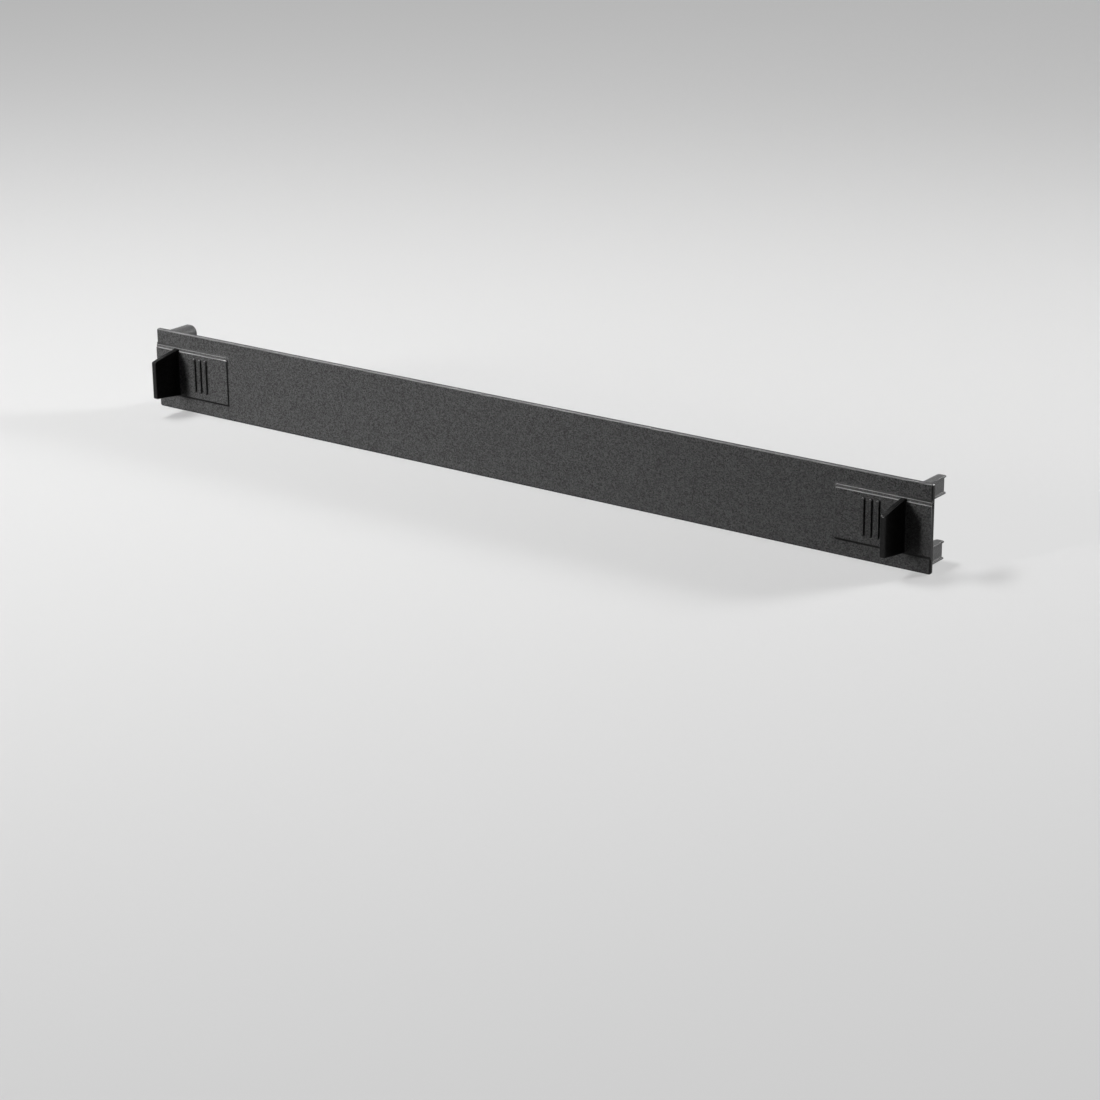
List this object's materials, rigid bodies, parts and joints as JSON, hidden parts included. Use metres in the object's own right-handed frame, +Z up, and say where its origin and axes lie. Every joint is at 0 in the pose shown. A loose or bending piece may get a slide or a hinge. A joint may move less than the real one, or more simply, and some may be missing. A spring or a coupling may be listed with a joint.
{
  "type": "rack blanking panel",
  "caption": "Long flat filler panel for an empty rack space, with an upright pull grip on a raised pad and D-shaped snap pegs at each end.",
  "frame": {"origin": "centre of the flat back face, on the plane that lies against the rack's rails", "axes": "+X to the right as seen from the front, +Y into the rack, +Z up"},
  "size_m": [0.4826, 0.0386, 0.0436],
  "materials": {
    "black_plastic": "fine-grained satin moulding"
  },
  "bodies": {
    "root": {"blanking_panel": "black_plastic"}
  },
  "joints": []
}
